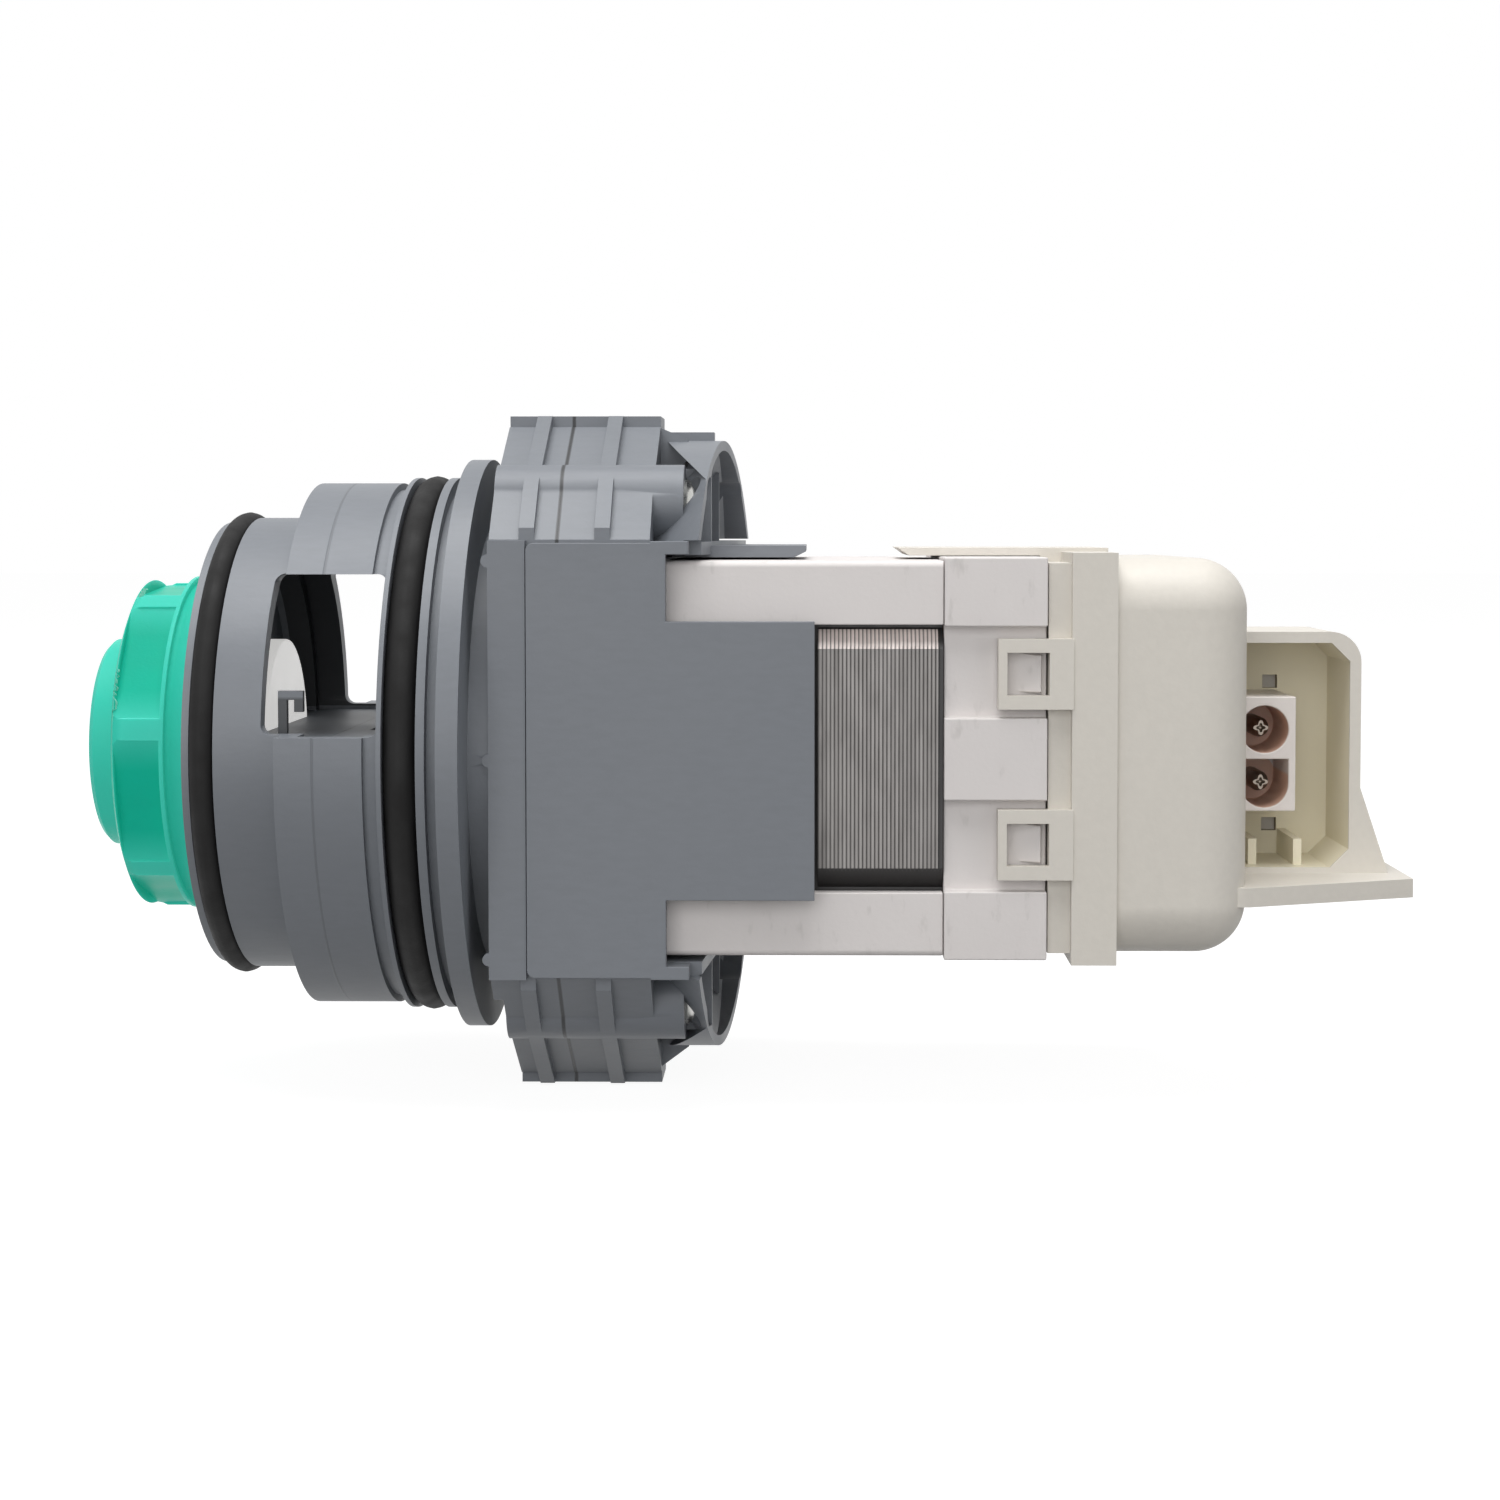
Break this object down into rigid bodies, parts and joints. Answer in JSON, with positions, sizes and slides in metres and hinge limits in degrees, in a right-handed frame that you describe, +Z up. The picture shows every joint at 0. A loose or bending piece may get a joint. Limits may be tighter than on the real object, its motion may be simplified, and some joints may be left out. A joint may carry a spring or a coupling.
{
  "type": "dishwasher pump motor assembly",
  "caption": "Plug-in dishwasher circulation pump: ribbed nozzle, sealed spigot with side windows, ribbed casing, and a brushless motor with a hooded plug socket.",
  "frame": {"origin": "on the pump axis at the parting line of the large spigot, the middle of the cylinder that plugs into the sump", "axes": "+X along the pump axis from the nozzle to the rear cover, +Z up in the pictured position, the plug socket opens to -Y"},
  "size_m": [0.1702, 0.0752, 0.0882],
  "materials": {
    "green_plastic": "slightly translucent moulded plastic, satin",
    "pale_plastic": "natural moulded plastic",
    "grey_plastic": "fine satin moulded glass-filled plastic",
    "white_plastic": "matt moulded plastic",
    "beige_plastic": "fine matt moulded plastic",
    "connector_plastic": "smooth moulded plastic",
    "seal_rubber": "matt black rubber",
    "screw_steel": "zinc plated steel",
    "sheet_steel": "stacked electrical steel sheet, cut edges",
    "shaft_steel": "ground steel",
    "winding_copper": "enamelled copper wire",
    "bearing_bronze": "sintered bronze",
    "contact_metal": "tin plated sheet metal",
    "board_laminate": "glass laminate with lacquer",
    "can_aluminium": "sleeved can",
    "chip_resin": "moulded resin",
    "seal_ceramic": "ground ceramic",
    "seal_carbon": "carbon, lapped face",
    "ferrite": "sintered ferrite",
    "impeller_plastic": "glass-filled moulded plastic"
  },
  "bodies": {
    "housing": {"outlet_nozzle": "green_plastic", "nozzle_insert": "pale_plastic", "front_housing": "grey_plastic", "front_o_ring": "seal_rubber", "rear_o_ring": "seal_rubber", "housing_gasket": "seal_rubber", "rear_housing": "grey_plastic", "housing_screws": "screw_steel", "motor_bracket": "grey_plastic", "stator_frame": "white_plastic", "stator_core": "sheet_steel", "stator_windings": "winding_copper", "stator_end_cap": "white_plastic", "rear_cover": "beige_plastic", "connector_block": "connector_plastic", "contact_pins": "contact_metal", "circuit_board": "board_laminate", "smoothing_capacitor": "can_aluminium", "driver_chip": "chip_resin", "front_bearing": "bearing_bronze", "rear_bearing": "bearing_bronze", "seal_seat": "seal_ceramic"},
    "rotor": {"shaft": "shaft_steel", "rotor_core": "sheet_steel", "rotor_magnet": "ferrite", "impeller": "impeller_plastic", "impeller_nut": "screw_steel", "seal_ring": "seal_carbon", "seal_spring": "shaft_steel"}
  },
  "joints": [
    {"name": "rotor_spin", "type": "hinge", "parent": "housing", "child": "rotor", "pos_m": [0.043, 0, 0], "axis": [1, 0, 0], "continuous": true}
  ]
}
